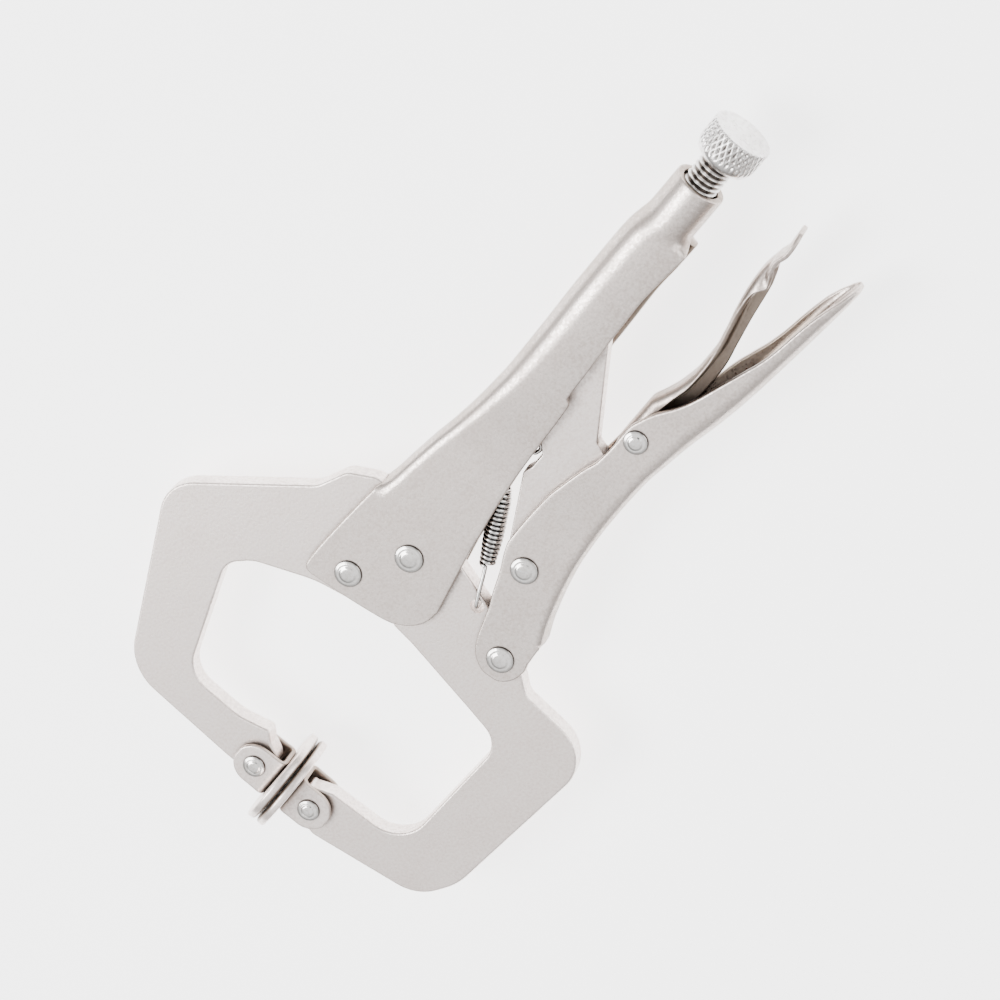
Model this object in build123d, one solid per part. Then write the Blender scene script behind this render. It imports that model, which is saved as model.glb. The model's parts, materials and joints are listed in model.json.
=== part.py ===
"""Locking C-clamp pliers with swivel pads, closed and locked, lying on their side.

Everything is drawn in the tool's own frame: origin on the main pivot, X along the handle towards
the knob, Y towards the fixed jaw, Z along the rivets, mid-plane at z = 0. place() then shifts all
parts so that the whole tool stands on z = 0 with its box centred on the origin.
"""
from build123d import *
from math import atan2, cos, hypot, pi, radians, sin, tan
import os

# ---- driving dimensions, millimetres ----
JAW_T = 3.6              # thickness of both jaw plates
EASE = 0.45              # rounding of the jaw plates' long edges
LINK_T = 3.2             # thickness of the toggle link
SHEET = 1.2              # sheet of both pressed handles
LEVER_SHEET = 0.9        # sheet of the release lever
CHEEK_IN = 1.95          # half the space between the cheeks at the jaws
CHEEK_OUT = CHEEK_IN + SHEET
REAR_HALF = 4.5          # half width of both handles at the back
LEVER_HALF = 3.9         # half width of the lower handle at the lever rivet
RUN = 0.05               # radial clearance of a turning rivet
GAP = 0.3                # clearance between moving bodies

MAIN = (0.0, 0.0)        # moving jaw turns here
FRONT = (-10.15, 6.33)   # second rivet of the fixed jaw
HANDLE_PIN = (-4.2, -23.2)
LINK_PIN = (12.6, -16.2)
LEVER_PIN = (45.5, -16.0)
LINK_TIP = (64.0, 3.1)   # where the link bears on the adjusting screw
PAD_X = -54.2
PAD_PIN_Y = (-2.95, -15.45)
PAD_MEET = -9.2          # plane between the two pad faces
PAD_GAP = 0.33
HUB_R = 8.0              # round hub of the moving jaw
SPRING_HOLE = (0.3, -14.25)
SPRING_HOLE_R = 1.3

PIN_R = {"front": 1.75, "main": 2.0, "handle": 1.9, "link": 1.8, "lever": 1.4, "pad": 1.5}
HEAD_R = {"front": 2.5, "main": 2.6, "handle": 2.5, "link": 2.5, "lever": 2.15, "pad": 2.1}
HEAD_H = 0.8

SCREW_Y = 3.15
SCREW_R = 3.0
TUBE_R = 4.5
TUBE_X = (76.0, 87.0)
SCREW_TIP_X = LINK_TIP[0] + 3.55
KNOB_X = (92.0, 98.5)
KNOB_R = 5.3

PAD_R = 9.3
PAD_T = 1.6


# ---- drawing helpers ----
def rounded_face(corners):
    """Closed outline from (x, y) or (x, y, radius) corners, each corner rounded by a tangent arc.

    A radius too large for its two sides is cut down, so that an arc never passes a side's middle.
    """
    pts = [(c[0], c[1], c[2] if len(c) > 2 else 0.0) for c in corners]
    ends = []
    for i, (x, y, r) in enumerate(pts):
        px, py, _ = pts[i - 1]
        nx, ny, _ = pts[(i + 1) % len(pts)]
        a = ((px - x) / hypot(px - x, py - y), (py - y) / hypot(px - x, py - y))
        b = ((nx - x) / hypot(nx - x, ny - y), (ny - y) / hypot(nx - x, ny - y))
        inside = max(-1.0, min(1.0, a[0] * b[0] + a[1] * b[1]))
        half = atan2((1 - inside) ** 0.5, (1 + inside) ** 0.5)
        if r <= 0 or half > radians(89.5):
            ends.append(((x, y), None, (x, y)))
            continue
        shorter = min(hypot(px - x, py - y), hypot(nx - x, ny - y))
        t = min(r / tan(half), 0.49 * shorter)
        r = t * tan(half)
        m = (a[0] + b[0], a[1] + b[1])
        k = (r / sin(half) - r) / hypot(*m)
        start = (x + a[0] * t, y + a[1] * t)
        middle = (x + m[0] * k, y + m[1] * k)
        end = (x + b[0] * t, y + b[1] * t)
        ends.append((start, middle, end))
    edges = []
    for i, (start, mid, end) in enumerate(ends):
        if mid is not None:
            edges.append(ThreePointArc(start, mid, end))
        following = ends[(i + 1) % len(ends)][0]
        if hypot(following[0] - end[0], following[1] - end[1]) > 1e-6:
            edges.append(Line(end, following))
    return make_face(Curve() + edges)


def plate(corners, half):
    """A rounded outline made a plate from z = -half to +half."""
    return extrude(rounded_face(corners), half, both=True)


def disc(at, r, half):
    return Pos(at[0], at[1], 0) * Cylinder(r, 2 * half)


def round_edges(solid, r, where):
    """Fillet the edges of a plate that lie on its flat faces."""
    edges = [e for e in solid.edges() if where(e)]
    return fillet(edges, r)


def on_faces(half):
    """True for an edge that lies in one of the two flat faces of a plate."""
    return lambda e: abs(abs(e.center().Z) - half) < 1e-3


def rod(start, end, r):
    """A round rod from start to end with a ball at its end."""
    a, b = Vector(*start), Vector(*end)
    plane = Plane(origin=a, z_dir=(b - a).normalized())
    body = extrude(plane * Circle(r), (b - a).length)
    return body + Pos(*end) * Sphere(r)


def dome_rivet(at, shank_r, head_r, half):
    """A rivet along Z with a low domed head on both outer faces."""
    ball_r = (head_r ** 2 + HEAD_H ** 2) / (2 * HEAD_H)
    body = disc(at, shank_r, half)
    for side in (1, -1):
        cap = Pos(at[0], at[1], side * (half + HEAD_H - ball_r)) * Sphere(ball_r)
        slab = Pos(at[0], at[1], side * (half + HEAD_H / 2)) * Box(2 * ball_r, 2 * ball_r, HEAD_H)
        body += cap & slab
    return body


def channel(side, plan, hollow_side, hollow_plan, height):
    """A pressed channel: side outline crossed with plan outline, less the same for its inside."""
    def crossed(outline, widths):
        body = plate(outline, REAR_HALF + 1)
        mirrored = [(x, -z) for x, z in reversed(widths)]
        across = Plane.XZ * make_face(Polyline(*widths, *mirrored, close=True))
        return body & extrude(across, height, both=True)
    return crossed(side, plan) - crossed(hollow_side, hollow_plan)


# ---- jaws ----
def fixed_jaw():
    """C-shaped plate. Its tail runs round the hub of the moving jaw inside the handle."""
    pin_x, pin_y = PAD_X, PAD_PIN_Y[0]
    outline = [
        (-57.3, 2.0, 40), (-55.9, 25.6, 10), (-20.2, 40.9, 7.5), (-1.2, 20.1, 4),
        (4.6, 17.6, 2.5), (7.6, 13.0, 3), (7.3, 5.0, 1), (0.0, 4.0, 2), (-7.0, -2.0, 2), (-9.0, -4.6, 0.8),
        (-13.2, -4.6, 1), (-14.9, 2.5, 20), (-16.6, 10.0, 20), (-21.5, 20.4, 7), (-25.4, 23.9, 4),
        (-48.6, 16.7, 6), (-49.0, 5.0, 12), (-47.3, -1.0, 0.8), (-49.2, -2.7, 1), (-51.0, pin_y - 2.7, 2.0),
        (-57.3, pin_y - 3.0, 2.9),
    ]
    body = round_edges(plate(outline, JAW_T / 2), EASE, on_faces(JAW_T / 2))
    body -= disc(MAIN, HUB_R + GAP, JAW_T)
    body -= disc(FRONT, PIN_R["front"], JAW_T)
    return body - disc((pin_x, pin_y), PIN_R["pad"] + RUN, JAW_T)


def moving_jaw():
    """C-shaped plate with the hub on the main rivet and the lug that carries the lower handle."""
    pin_x, pin_y = PAD_X, PAD_PIN_Y[1]
    outline = [
        (-5.0, -5.0, 1), (-13.5, -5.1, 0.8), (-14.1, -10.0, 20), (-17.2, -25.3, 20), (-18.9, -33.0, 5),
        (-48.6, -32.4, 7), (-49.3, -17.0, 1.5), (-50.9, pin_y + 2.0, 1), (-51.0, pin_y + 2.8, 2.4),
        (-57.5, pin_y + 3.0, 2.9), (-59.0, -19.0, 3), (-55.2, -40.5, 9), (-47.6, -44.5, 12),
        (-8.9, -47.2, 8), (-7.6, -31.0, 3), (-4.4, -27.4, 1.5), (0.4, -26.8, 3.5), (1.2, -17.5, 3),
        (2.2, -14.0, 1.5), (4.4, -7.6, 2), (6.0, -3.0, 1),
    ]
    body = round_edges(plate(outline, JAW_T / 2), EASE, on_faces(JAW_T / 2))
    body += disc(MAIN, HUB_R, JAW_T / 2)
    body -= disc(MAIN, PIN_R["main"] + RUN, JAW_T)
    body -= disc(HANDLE_PIN, PIN_R["handle"] + RUN, JAW_T)
    body -= disc(SPRING_HOLE, SPRING_HOLE_R, JAW_T)
    return body - disc((pin_x, pin_y), PIN_R["pad"] + RUN, JAW_T)


# ---- handles, link and lever ----
def upper_handle():
    """Pressed channel, open below, flat at the jaws and round at the back, tail rolled to a tube."""
    side = [
        (-14.9, 12.95, 1), (-0.9, 12.6), (8.4, 11.7), (15, 10.8), (20, 10.2), (25, 9.3, 60),
        (32, 8.5, 60), (40, 8.15, 60), (60, 8.6, 60), (72, 8.6, 60), (80, 7.65), (TUBE_X[1], 7.65),
        (TUBE_X[1], SCREW_Y), (TUBE_X[0] + 2, SCREW_Y), (TUBE_X[0], -3.1, 2), (43.6, -2.9), (43.0, -3.6),
        (33.5, -4.4), (19.1, -5.6), (5.2, -7.7), (-4.0, -9.6, 3), (-9.0, -9.0, 3), (-12.9, -5.0, 3),
        (-14.4, 3.0),
    ]
    plan = [(-16, CHEEK_OUT), (22, CHEEK_OUT), (46, REAR_HALF), (88, REAR_HALF)]
    inner_side = [
        (-20, 20), (8.2, 20), (8.2, 10.2), (15, 9.6), (20, 9.0), (25, 8.1, 60), (32, 7.3, 60),
        (40, 6.95, 60), (60, 7.4, 60), (TUBE_X[0], 7.4), (TUBE_X[0], -20), (-20, -20),
    ]
    inner_plan = [(-21, CHEEK_IN), (22, CHEEK_IN), (46, REAR_HALF - SHEET), (TUBE_X[0], REAR_HALF - SHEET)]
    body = channel(side, plan, inner_side, inner_plan, 30)
    body -= Pos(-20, 22, 0) * Box(55.6, 18, 10)
    tube = Pos(sum(TUBE_X) / 2, SCREW_Y, 0) * Rot(0, 90, 0) * Cylinder(TUBE_R, TUBE_X[1] - TUBE_X[0])
    corner = Pos(sum(TUBE_X) / 2 + 1, 10 + SCREW_Y, 0) * Box(TUBE_X[1] - TUBE_X[0] - 2, 20, 12)
    body = (body - corner) + tube
    bore_x = SCREW_TIP_X - 2
    bore = Pos(bore_x, SCREW_Y, 0) * Rot(0, 90, 0) * Cylinder(
        SCREW_R + RUN, TUBE_X[1] - bore_x + 2, align=(Align.CENTER, Align.CENTER, Align.MIN))
    body -= bore
    tab = Pos(30.9, -3.2, 0) * Box(0.9, 2.6, 2 * CHEEK_IN + 2.2)
    body += tab & plate([(28, -4.5), (34, -4.4), (34, 8), (28, 8)], REAR_HALF)
    for at, name in ((MAIN, "main"), (FRONT, "front")):
        body -= disc(at, PIN_R[name], 10)
    return body


def lower_handle():
    """Pressed channel, open above, with round ears on the jaw's lug and cheeks round the lever."""
    side = [
        (-8.4, -19.2, 3.6), (-3.5, -17.9, 4), (7.8, -13.7, 20), (15.0, -10.7, 2), (26, -10.9, 20),
        (36, -12.8, 12), (41, -13.6, 10), (46.5, -13.2, 6), (51, -15.1, 8), (55.5, -17.7, 12),
        (60, -19.2, 40), (68.5, -21.6, 40), (78, -23.6, 40), (85, -24.7, 20), (90.8, -26.6, 0.4),
        (90.8, -27.5, 0.4), (80, -26.8, 60), (65, -25.6, 60), (57, -24.6, 60), (50, -23.3, 60),
        (39.6, -21.9, 60), (29, -21.9, 60), (20.7, -22.6, 60), (15, -23.6, 60), (8.2, -25.3, 20),
        (2.9, -27.3, 0.5), (1.6, -26.4, 1), (-3.5, -27.7, 3.5), (-8.5, -26.6, 4),
    ]
    plan = [(-12, CHEEK_OUT), (22, CHEEK_OUT), (41, LEVER_HALF), (50, LEVER_HALF), (66, REAR_HALF),
            (94, REAR_HALF)]
    inner_side = [
        (-12, -40), (2.8, -40), (2.8, -25.9), (8.2, -24.0, 20), (15, -22.35, 60), (20.7, -21.4, 60),
        (29, -20.7, 60), (39.6, -20.7, 60), (50, -22.1, 60), (57, -23.4, 60), (65, -24.4, 60),
        (80, -25.6, 60), (95, -26.3), (95, 0),
        (-12, 0),
    ]
    inner_plan = [(-13, CHEEK_IN), (22, CHEEK_IN), (41, LEVER_HALF - SHEET), (50, LEVER_HALF - SHEET),
                  (66, REAR_HALF - SHEET), (89.6, REAR_HALF - SHEET)]
    body = channel(side, plan, inner_side, inner_plan, 60)
    for at, name in ((HANDLE_PIN, "handle"), (LINK_PIN, "link"), (LEVER_PIN, "lever")):
        body -= disc(at, PIN_R[name], 10)
    return body


def toggle_link():
    """Flat link: an eye on the link rivet, a heel for the lever and a long nose to the screw."""
    x, y = LINK_TIP
    outline = [
        (8.7, -15.2, 3.4), (14.6, -10.9, 3), (26.4, -5.2, 1), (28.2, -5.75, 0.8), (31.3, -5.75, 0.8),
        (33.4, -3.6, 3), (50.0, 3.0, 10), (x - 1.0, y + 1.9, 1.8), (x + 1.8, y - 0.2, 1.5),
        (55.4, -2.0, 8), (39.4, -11.5, 1), (38.7, -13.9, 1), (30.0, -17.2, 20), (14.0, -20.1, 3.6),
        (8.8, -19.6, 3.6),
    ]
    body = plate(outline, LINK_T / 2)
    body = round_edges(body, 0.3, on_faces(LINK_T / 2))
    return body - disc(LINK_PIN, PIN_R["link"] + RUN, JAW_T)


def release_lever():
    """Pressed gutter, open below, with a long scoop in its near cheek and a flat thumb tab."""
    side = [
        (40.6, -13.9, 0.6), (44.0, -13.4, 6), (51.7, -13.3, 8), (57.4, -15.7, 12), (62.5, -16.3, 14),
        (70.4, -14.9, 30), (78.0, -13.1, 14), (84.0, -12.9, 14), (88.2, -13.9, 6), (92.2, -13.5, 0.3),
        (92.2, -14.5, 0.3), (88.0, -15.0, 10), (81.3, -16.1, 20), (70.4, -18.1, 20), (60.0, -19.4, 20),
        (46.5, -19.3, 3.2),
        (42.5, -18.2, 3), (40.8, -15.5, 1),
    ]
    half_front, half_rear = 2.4, 3.0
    plan = [(40, half_front), (50, half_front), (62, half_rear), (94, half_rear)]
    t = LEVER_SHEET
    inner_side = [
        (36, -14.8), (44.0, -14.3), (51.4, -14.2, 8), (57.2, -16.6, 12), (62.5, -17.2, 14),
        (70.6, -15.8, 30), (78.2, -14.0, 14), (84.0, -13.9), (84.0, -30), (36, -30),
    ]
    inner_plan = [(39, half_front - t), (50, half_front - t), (62, half_rear - t), (84, half_rear - t)]
    body = channel(side, plan, inner_side, inner_plan, 40)
    scoop = [
        (50.5, -15.0, 1), (54.9, -16.1, 8), (58.4, -16.7, 8), (62.0, -16.7, 8), (68.3, -16.0, 8),
        (77.1, -14.6, 2), (79.6, -15.2, 1), (81.3, -17.0), (81.0, -22), (50.0, -22),
    ]
    body -= Pos(0, 0, half_front + 1) * plate(scoop, 2)
    return body - disc(LEVER_PIN, PIN_R["lever"] + RUN, 10)


# ---- screw, knob and spring ----
def adjusting_screw():
    """M6 screw with a short plain point; rings stand in for the helical thread."""
    length = KNOB_X[0] + 3 - SCREW_TIP_X
    body = Cylinder(SCREW_R, length, align=(Align.CENTER, Align.CENTER, Align.MIN))
    body = chamfer(body.edges().sort_by(Axis.Z)[0], 1.2)
    groove_r = SCREW_R - 0.55
    ring = Solid.extrude(Face(Wire.make_circle(SCREW_R + 0.1)), Vector(0, 0, 0.5))
    ring = ring - Cylinder(groove_r, 2)
    first = TUBE_X[1] + 0.2 - SCREW_TIP_X
    for i in range(4):
        body -= Pos(0, 0, first + 1.0 * i) * ring
    return Pos(SCREW_TIP_X, SCREW_Y, 0) * Rot(0, 90, 0) * body


def screw_knob():
    """Knob with a tapered underside, a knurled band and a slightly domed bright face."""
    h = KNOB_X[1] - KNOB_X[0]
    profile = [(0, 0), (3.6, 0), (5.0, 1.3), (KNOB_R, 2.1), (KNOB_R, h - 0.5), (KNOB_R - 0.6, h), (0, h)]
    face = make_face(Polyline(*[(r, z) for r, z in profile], close=True))
    body = revolve(Plane.XZ * face, Axis.Z)
    flutes = 40
    for i in range(flutes):
        a = 2 * pi * i / flutes
        notch = Pos(KNOB_R * cos(a), KNOB_R * sin(a), 2.3) * Cylinder(
            0.22, h - 3.1, align=(Align.CENTER, Align.CENTER, Align.MIN))
        body -= notch
    body = Pos(KNOB_X[0], SCREW_Y, 0) * Rot(0, 90, 0) * body
    return body - Pos(KNOB_X[0] - 1, SCREW_Y, 0) * Rot(0, 90, 0) * Cylinder(
        SCREW_R + 0.02, 4.0, align=(Align.CENTER, Align.CENTER, Align.MIN))


def return_spring():
    """Tension spring: a plain barrel for the coils and a thin hooked arm at each end."""
    wire = 0.32
    start, end = Vector(7.1, -10.9, 0), Vector(20.8, -4.6, 0)
    plane = Plane(origin=start, z_dir=(end - start).normalized())
    body = extrude(plane * Circle(1.45), (end - start).length)
    path = [(7.3, -10.8, 0.9), (3.6, -12.6, 2.3), (0.4, -14.2, 2.3), (0.3, -14.3, -2.0)]
    for a, b in zip(path, path[1:]):
        body += rod(a, b, wire)
    path = [(20.6, -4.7, 0), (29.6, -4.0, 0), (29.9, -4.95, 0), (31.5, -4.95, 0), (31.9, -4.1, 0)]
    for a, b in zip(path, path[1:]):
        body += rod(a, b, wire)
    return body


# ---- swivel pads ----
def pad_disc(side):
    """Round pad plate; side is +1 for the pad on the fixed jaw and -1 for the other."""
    face_y = PAD_MEET + side * PAD_GAP / 2
    body = Cylinder(PAD_R, PAD_T)
    body = fillet(body.edges().filter_by(GeomType.CIRCLE), 0.35)
    return Pos(PAD_X, face_y + side * PAD_T / 2, 0) * Rot(90, 0, 0) * body


def pad_yoke(side, pin_y):
    """Fork with two ears that straddle the jaw tip; its base sits on the pad plate."""
    base_y = PAD_MEET + side * (PAD_GAP / 2 + PAD_T)
    s = side
    outline = [
        (PAD_X - 5.4, base_y), (PAD_X - 4.5, pin_y - s * 1.5, 6), (PAD_X - 4.2, pin_y + s * 4.2, 4.1),
        (PAD_X + 4.2, pin_y + s * 4.2, 4.1), (PAD_X + 4.5, pin_y - s * 1.5, 6), (PAD_X + 5.4, base_y),
    ]
    half = CHEEK_OUT + 0.1
    above_pad = lambda e: on_faces(half)(e) and s * e.center().Y > s * base_y
    ears = round_edges(plate(outline, half), EASE, above_pad)
    floor_y = base_y + s * 0.9
    space = Pos(PAD_X, floor_y + s * 10, 0) * Box(20, 20, 2 * CHEEK_IN)
    body = ears - space
    return body - disc((PAD_X, pin_y), PIN_R["pad"], 10)


# ---- the whole tool ----
def tool_parts():
    """Every part in the tool's own frame."""
    outer = CHEEK_OUT
    parts = {
        "upper_handle": upper_handle(), "fixed_jaw": fixed_jaw(), "moving_jaw": moving_jaw(),
        "lower_handle": lower_handle(), "toggle_link": toggle_link(), "release_lever": release_lever(),
        "adjusting_screw": adjusting_screw(), "screw_knob": screw_knob(), "return_spring": return_spring(),
        "front_rivet": dome_rivet(FRONT, PIN_R["front"], HEAD_R["front"], outer),
        "main_pivot_rivet": dome_rivet(MAIN, PIN_R["main"], HEAD_R["main"], outer),
        "handle_pivot_rivet": dome_rivet(HANDLE_PIN, PIN_R["handle"], HEAD_R["handle"], outer),
        "link_rivet": dome_rivet(LINK_PIN, PIN_R["link"], HEAD_R["link"], outer),
        "lever_rivet": dome_rivet(LEVER_PIN, PIN_R["lever"], HEAD_R["lever"], LEVER_HALF),
    }
    for name, side, pin_y in (("fixed", 1, PAD_PIN_Y[0]), ("moving", -1, PAD_PIN_Y[1])):
        parts[f"{name}_pad_disc"] = pad_disc(side)
        parts[f"{name}_pad_yoke"] = pad_yoke(side, pin_y)
        parts[f"{name}_pad_rivet"] = dome_rivet((PAD_X, pin_y), PIN_R["pad"], HEAD_R["pad"], outer + 0.1)
    return parts


def place(parts):
    """The shift that centres the tool's box on the origin and stands it on z = 0."""
    boxes = [p.bounding_box() for p in parts.values()]
    low = [min(getattr(b.min, k) for b in boxes) for k in "XYZ"]
    high = [max(getattr(b.max, k) for b in boxes) for k in "XYZ"]
    return (-(low[0] + high[0]) / 2, -(low[1] + high[1]) / 2, -low[2])


def main():
    os.makedirs("parts", exist_ok=True)
    parts = tool_parts()
    shift = place(parts)
    for name, shape in parts.items():
        export_step(Pos(*shift) * shape, f"parts/{name}.step")
    print("shift", [round(v, 4) for v in shift])
    return parts, shift


if __name__ == "__main__":
    main()
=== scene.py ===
# %% [markdown]
# # Locking C-clamp pliers
# The jaws, pads, handles and rivets come from the CAD frame, where every hole and pivot already sits in
# its place. This lesson gives them their looks: the pressed handles get the soft bends of real sheet steel,
# the screw gets its thread, and every metal gets the finish that the plater gave it.

# %% Load the frame
import json

import bpy
import numpy as np
from mathutils import Matrix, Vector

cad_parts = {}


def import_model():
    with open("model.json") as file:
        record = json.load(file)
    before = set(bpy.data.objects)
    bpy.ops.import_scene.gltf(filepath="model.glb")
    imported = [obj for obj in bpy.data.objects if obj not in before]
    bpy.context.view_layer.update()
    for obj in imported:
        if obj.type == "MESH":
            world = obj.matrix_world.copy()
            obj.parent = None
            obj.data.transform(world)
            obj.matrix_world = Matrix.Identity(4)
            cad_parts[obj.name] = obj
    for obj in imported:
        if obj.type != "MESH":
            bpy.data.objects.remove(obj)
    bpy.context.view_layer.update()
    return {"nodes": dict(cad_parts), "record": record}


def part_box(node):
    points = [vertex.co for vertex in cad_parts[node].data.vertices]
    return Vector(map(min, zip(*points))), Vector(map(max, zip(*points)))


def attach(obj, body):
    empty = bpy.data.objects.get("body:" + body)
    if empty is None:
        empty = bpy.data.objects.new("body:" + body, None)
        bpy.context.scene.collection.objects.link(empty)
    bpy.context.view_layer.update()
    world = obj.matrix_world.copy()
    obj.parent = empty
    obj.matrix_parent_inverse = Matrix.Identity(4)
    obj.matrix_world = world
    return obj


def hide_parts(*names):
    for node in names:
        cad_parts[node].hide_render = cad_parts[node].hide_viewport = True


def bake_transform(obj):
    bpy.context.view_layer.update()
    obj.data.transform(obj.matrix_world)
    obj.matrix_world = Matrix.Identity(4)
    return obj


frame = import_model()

# %% [markdown]
# ## The tool's own ruler
# A toolmaker measures pliers from the main pivot, with X along the handle. All the profiles below are
# written that way, in millimetres, and one function takes them to the frame's metres. The pins are read
# from the CAD rivets, so a moved pivot moves the looks with it.

# %% Millimetres from the main pivot
MM = 0.001


def centre_of(node):
    """The middle of a CAD node's box, in metres."""
    low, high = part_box(node)
    return (np.array(low, float) + np.array(high, float)) / 2


PIVOT = centre_of("main_pivot_rivet")


def to_frame(points):
    """Millimetres from the main pivot to metres in the frame."""
    return PIVOT + MM * np.asarray(points, float)


def pin(node):
    """A node's middle in millimetres from the main pivot."""
    return (centre_of(node) - PIVOT) / MM


SCREW_Y = pin("adjusting_screw")[1]
SHEET = 1.2            # thickness of the handles' sheet, mm
EDGE = 0.28            # rounding of a tumbled sheet edge, mm
print("screw axis at", round(float(SCREW_Y), 2), "mm")

# %% [markdown]
# ## Smooth profiles from a few stations
# A pressed handle has no straight line in its side view. A draughtsman gives a height at a few stations
# and lets a spline run through them. A cubic Hermite curve does that: between two stations the height is
# blended with the slopes, and each slope is the harmonic mean of its two neighbours, so it never
# overshoots. It is worked out for all the grid's columns at once.

# %% Spline through stations


def profile(stations, x):
    """Height at x: a cubic through the stations, with harmonic-mean slopes so that it never overshoots."""
    s = np.array(stations, float)
    px, py = s[:, 0], s[:, 1]
    h = np.diff(px)
    d = np.diff(py) / h
    slope = np.zeros(len(px))
    same = d[:-1] * d[1:] > 0
    inner = np.where(same, 2 * d[:-1] * d[1:] / np.where(same, d[:-1] + d[1:], 1), 0)
    slope[1:-1] = inner
    slope[0], slope[-1] = d[0], d[-1]
    x = np.clip(x, px[0], px[-1])
    k = np.clip(np.searchsorted(px, x, side="right") - 1, 0, len(h) - 1)
    t = (x - px[k]) / h[k]
    return ((1 + 2 * t) * (1 - t) ** 2 * py[k] + t * (1 - t) ** 2 * h[k] * slope[k]
            + t ** 2 * (3 - 2 * t) * py[k + 1] + t ** 2 * (t - 1) * h[k] * slope[k + 1])


def path_through(points, w):
    """A smooth path through points, w from 0 to 1 along its chords; each coordinate is its own profile."""
    p = np.array(points, float)
    along = np.concatenate([[0], np.cumsum(np.linalg.norm(np.diff(p, axis=0), axis=1))])
    along /= along[-1]
    return np.stack([profile(np.stack([along, p[:, k]], 1), w) for k in range(p.shape[1])], -1)


def smoothstep(low, high, x):
    """0 below low, 1 above high, and 3t^2 - 2t^3 between."""
    t = np.clip((x - low) / (high - low), 0, 1)
    return t * t * (3 - 2 * t)


# %% [markdown]
# ## From arrays to a mesh
# Blender takes vertices and faces from flat arrays with foreach_set, which is far quicker than adding
# them one by one. A grid's faces come from index arithmetic: a cell's four corners are i, i+1, and the same
# one row on.

# %% Mesh helpers


def new_piece(name, points, quads, material, extra=None, triangles=None, sharp=40.0):
    """A mesh object from millimetre points and quad index rows, smooth except at sharp folds."""
    mesh = bpy.data.meshes.new(name)
    faces = [tuple(q) for q in np.asarray(quads).tolist()]
    if triangles is not None:
        faces += [tuple(t) for t in np.asarray(triangles).tolist()]
    mesh.from_pydata(to_frame(points).tolist(), [], faces)
    for key, values in (extra or {}).items():
        layer = mesh.attributes.new(key, "FLOAT", "POINT")
        layer.data.foreach_set("value", np.asarray(values, np.float32))
    mesh.validate()
    mesh.shade_smooth()
    mesh.set_sharp_from_angle(angle=np.radians(sharp))
    mesh.materials.append(material)
    piece = bpy.data.objects.new(name, mesh)
    bpy.context.scene.collection.objects.link(piece)
    print(name, len(mesh.vertices), "vertices")
    return piece


def grid_quads(nu, nv, close_u=False, close_v=False, start=0):
    """Corner indices of the cells of an nu by nv grid stored row after row."""
    i = np.arange(nu if close_u else nu - 1)[:, None]
    j = np.arange(nv if close_v else nv - 1)[None, :]
    i2, j2 = (i + 1) % nu, (j + 1) % nv
    quads = np.stack([i * nv + j, i2 * nv + j, i2 * nv + j2, i * nv + j2], -1)
    return quads.reshape(-1, 4) + start


def unit(v):
    """Vectors scaled to length 1; a zero vector stays zero."""
    return v / np.maximum(np.linalg.norm(v, axis=-1, keepdims=True), 1e-12)


def mounted(piece, body, slot, *nodes):
    """The piece rides on its body and stands for its CAD nodes, which are hidden; slot is not used."""
    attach(piece, body)
    if nodes:
        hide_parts(*nodes)
    return piece


# %% [markdown]
# ## Metals
# Nickel plate over blasted steel is a warm light grey metal. Its blasted ground scatters light, so the
# roughness is high, and a fine grain breaks the highlights up. The grain is used by several finishes, so it
# is one node group: two noises, one as fine as the blasting grit and one cloudy, turned into a colour, a
# roughness and a bumped normal. The group also gives a mask of the crevices where two surfaces almost meet,
# found by how much of the sky a point's near surroundings hide; there the materials paint a contact shadow,
# painted shade. The shader itself stays in each material.

# %% Grain group
GRIT_CONTRAST = 3.2        # how strongly the fine grit shows against the clouds
GRIT_DEPTH = 0.00004       # height of the grit, m
CREVICE_REACH = 0.0011     # surfaces nearer than this to each other get a painted contact shadow, m


def socket(group, name, kind, out=False, value=None):
    """One input of a node group, or with out one output."""
    s = group.interface.new_socket(name=name, in_out="OUTPUT" if out else "INPUT", socket_type=kind)
    if value is not None:
        s.default_value = value
    return s


def add(tree, kind, **inputs):
    """A node with its inputs set by name; a tuple (node, output) makes a link."""
    node = tree.nodes.new(kind)
    for key, value in inputs.items():
        target = node.inputs[key.replace("_", " ")]
        if isinstance(value, tuple) and isinstance(value[0], bpy.types.Node):
            tree.links.new(value[0].outputs[value[1]], target)
        else:
            target.default_value = value
    return node


def mixed_colour(tree, factor, first, second):
    """A colour mix node; factor, first and second are values or (node, output) pairs."""
    node = tree.nodes.new("ShaderNodeMix")
    node.data_type = "RGBA"
    for index, value in ((0, factor), (6, first), (7, second)):
        if isinstance(value, tuple) and isinstance(value[0], bpy.types.Node):
            tree.links.new(value[0].outputs[value[1]], node.inputs[index])
        else:
            node.inputs[index].default_value = value
    return node


def ranged(tree, value, low, high):
    """A value from 0..1 mapped to low..high."""
    node = tree.nodes.new("ShaderNodeMapRange")
    tree.links.new(value[0].outputs[value[1]], node.inputs["Value"])
    node.inputs["To Min"].default_value = low
    node.inputs["To Max"].default_value = high
    return node


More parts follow.
